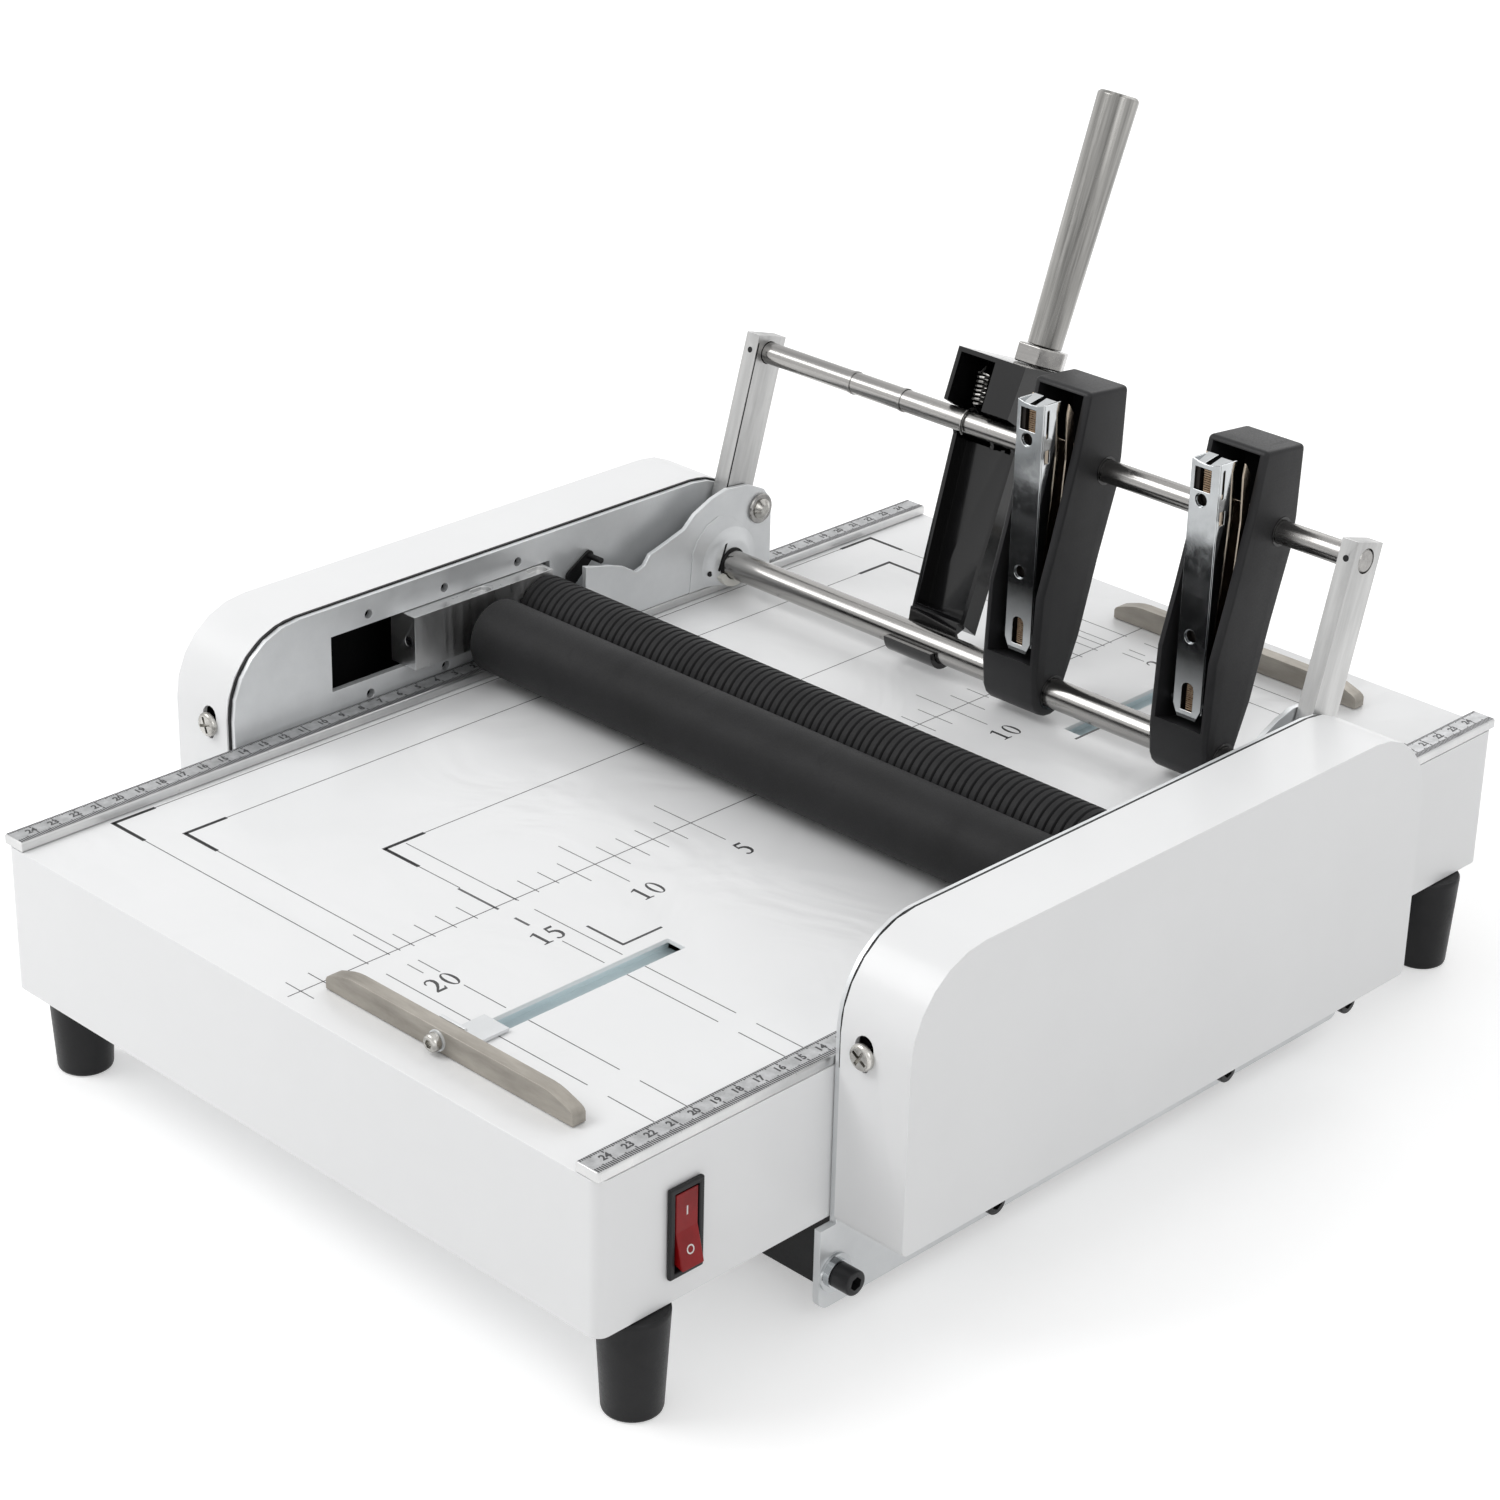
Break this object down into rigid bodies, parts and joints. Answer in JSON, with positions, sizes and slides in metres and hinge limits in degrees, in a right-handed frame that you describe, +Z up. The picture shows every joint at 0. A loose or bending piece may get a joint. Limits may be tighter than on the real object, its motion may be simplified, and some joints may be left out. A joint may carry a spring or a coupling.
{
  "type": "booklet maker",
  "caption": "Electric booklet maker: a flat table with rulers and stops, a swinging head with sliding staplers, and driven rollers that fold the sheets.",
  "frame": {"origin": "on the ground in the middle of the four feet, under the line where the sheets are stapled and folded", "axes": "+Y in the direction that the sheets lie lengthwise, from the front stop to the rear stop; +X along the rollers, towards the side with the power switch; +Z up"},
  "size_m": [0.3956, 0.5, 0.3326],
  "materials": {
    "white_powder_coat": "fine satin powder coat",
    "zinc_steel": "zinc-plated sheet",
    "brushed_steel": "lengthwise brushed",
    "bright_steel": "ground bright",
    "stop_steel": "dull warm grey",
    "machined_aluminium": "machined",
    "supply_case": "plain sheet",
    "chrome": "polished plate",
    "roller_rubber": "matt ground rubber",
    "satin_black": "satin moulded",
    "black_paint": "black paint",
    "gloss_black": "gloss black paint",
    "gear_plastic": "natural nylon",
    "brass": "machined",
    "board_green": "lacquered board",
    "switch_red": "clear glossy",
    "dark_steel": "black oxide"
  },
  "bodies": {
    "frame": {"table_body": "white_powder_coat", "base_plate": "zinc_steel", "foot_front_left": "satin_black", "foot_front_right": "satin_black", "foot_rear_left": "satin_black", "foot_rear_right": "satin_black", "ruler_left": "brushed_steel", "ruler_right": "brushed_steel", "side_plate_left": "zinc_steel", "side_plate_right": "zinc_steel", "side_cover_left": "white_powder_coat", "side_cover_right": "white_powder_coat", "drive_tray": "black_paint", "control_board": "board_green", "power_supply": "supply_case", "anvil_bar": "brushed_steel", "gear_motor": "dark_steel", "pivot_bracket_left": "zinc_steel", "pivot_bracket_right": "zinc_steel", "stop_bolt_left": "chrome", "stop_bolt_right": "chrome", "switch_bezel": "satin_black", "power_inlet": "satin_black", "blade_guide": "zinc_steel"},
    "head": {"lower_rod": "brushed_steel", "upper_rod": "bright_steel", "arm_left": "machined_aluminium", "arm_right": "machined_aluminium", "carriage_crank_left": "zinc_steel", "carriage_crank_right": "zinc_steel", "handle_bracket": "gloss_black", "handle_spring": "brushed_steel", "handle_nut": "chrome", "handle": "brushed_steel"},
    "stapler_1": {"stapler_housing_1": "satin_black"},
    "stapler_2": {"stapler_housing_2": "satin_black"},
    "magazine_1": {"stapler_magazine_1": "chrome"},
    "magazine_2": {"stapler_magazine_2": "chrome"},
    "carriage": {"bearing_block_left": "machined_aluminium", "bearing_block_right": "machined_aluminium", "carriage_link_left": "zinc_steel", "carriage_link_right": "zinc_steel"},
    "front_folding_roller": {"front_roller": "roller_rubber", "front_roller_gear": "gear_plastic"},
    "rear_folding_roller": {"rear_roller": "roller_rubber", "rear_roller_gear": "gear_plastic"},
    "upper_idler": {"idler_gear_upper": "gear_plastic"},
    "lower_idler": {"idler_gear_lower": "gear_plastic"},
    "pinion": {"motor_pinion": "brass"},
    "blade": {"fold_blade": "brushed_steel", "blade_holder": "zinc_steel"},
    "blade_lifter": {"lift_shaft": "zinc_steel"},
    "front_stop": {"front_stop_bar": "stop_steel", "front_stop_slider": "zinc_steel", "front_stop_screw": "dark_steel"},
    "rear_stop": {"rear_stop_bar": "stop_steel", "rear_stop_slider": "zinc_steel", "rear_stop_screw": "dark_steel"},
    "latch": {"trip_lever": "black_paint"},
    "rocker": {"switch_rocker": "switch_red"}
  },
  "joints": [
    {"name": "head_swing", "type": "hinge", "parent": "frame", "child": "head", "pos_m": [0, 0.121, 0.1143], "axis": [1, 0, 0], "range_deg": [0, 92.8]},
    {"name": "stapler_1_slide", "type": "slide", "parent": "head", "child": "stapler_1", "axis": [1, 0, 0], "range_m": [-0.016, 0.034]},
    {"name": "stapler_2_slide", "type": "slide", "parent": "head", "child": "stapler_2", "axis": [1, 0, 0], "range_m": [-0.016, 0.024]},
    {"name": "magazine_1_press", "type": "hinge", "parent": "stapler_1", "child": "magazine_1", "pos_m": [0.0203, 0.12002, 0.1342], "axis": [-1, 0, 0], "range_deg": [0, 6], "stiffness_Nm_per_rad": 3, "springref_deg": -2.86},
    {"name": "magazine_2_press", "type": "hinge", "parent": "stapler_2", "child": "magazine_2", "pos_m": [0.1072, 0.12002, 0.1342], "axis": [-1, 0, 0], "range_deg": [0, 6], "stiffness_Nm_per_rad": 3, "springref_deg": -2.86},
    {"name": "carriage_slide", "type": "slide", "parent": "frame", "child": "carriage", "axis": [0, -1, 0], "range_m": [0, 0.037]},
    {"name": "rear_roller_spin", "type": "hinge", "parent": "carriage", "child": "rear_folding_roller", "pos_m": [0, 0.01565, 0.1212], "axis": [1, 0, 0], "continuous": true},
    {"name": "front_roller_spin", "type": "hinge", "parent": "carriage", "child": "front_folding_roller", "pos_m": [0, -0.01565, 0.1212], "axis": [1, 0, 0], "continuous": true},
    {"name": "upper_idler_spin", "type": "hinge", "parent": "frame", "child": "upper_idler", "pos_m": [0.179, 0.04773, 0.1212], "axis": [1, 0, 0], "continuous": true},
    {"name": "lower_idler_spin", "type": "hinge", "parent": "frame", "child": "lower_idler", "pos_m": [0.179, 0.06173, 0.09147], "axis": [1, 0, 0], "continuous": true},
    {"name": "pinion_spin", "type": "hinge", "parent": "frame", "child": "pinion", "pos_m": [0.179, 0.06173, 0.06408], "axis": [1, 0, 0], "continuous": true},
    {"name": "blade_lift", "type": "slide", "parent": "frame", "child": "blade", "axis": [0, 0, 1], "range_m": [0, 0.014]},
    {"name": "lift_shaft_turn", "type": "hinge", "parent": "frame", "child": "blade_lifter", "pos_m": [0, 0.03429, 0.0686], "axis": [-1, 0, 0], "range_deg": [0, 23.1]},
    {"name": "front_stop_slide", "type": "slide", "parent": "frame", "child": "front_stop", "axis": [0, 1, 0], "range_m": [0, 0.0855]},
    {"name": "rear_stop_slide", "type": "slide", "parent": "frame", "child": "rear_stop", "axis": [0, -1, 0], "range_m": [0, 0.0855]},
    {"name": "latch_tip", "type": "hinge", "parent": "frame", "child": "latch", "pos_m": [-0.162, 0.0385, 0.1273], "axis": [-1, 0, 0], "range_deg": [0, 71]},
    {"name": "rocker_tip", "type": "hinge", "parent": "frame", "child": "rocker", "pos_m": [0.1622, -0.2118, 0.0688], "axis": [0, 1, 0], "range_deg": [0, 14]}
  ],
  "couplings": [
    {"joint": "carriage_slide", "follows": "head_swing", "m_per_rad": 0.02278},
    {"joint": "latch_tip", "follows": "head_swing", "ratio": 0.754},
    {"joint": "front_roller_spin", "follows": "rear_roller_spin", "ratio": -1},
    {"joint": "upper_idler_spin", "follows": "rear_roller_spin", "ratio": -0.95238},
    {"joint": "lower_idler_spin", "follows": "rear_roller_spin", "ratio": 0.95238},
    {"joint": "pinion_spin", "follows": "rear_roller_spin", "ratio": -1.4286},
    {"joint": "lift_shaft_turn", "follows": "blade_lift", "rad_per_m": 28.67}
  ]
}
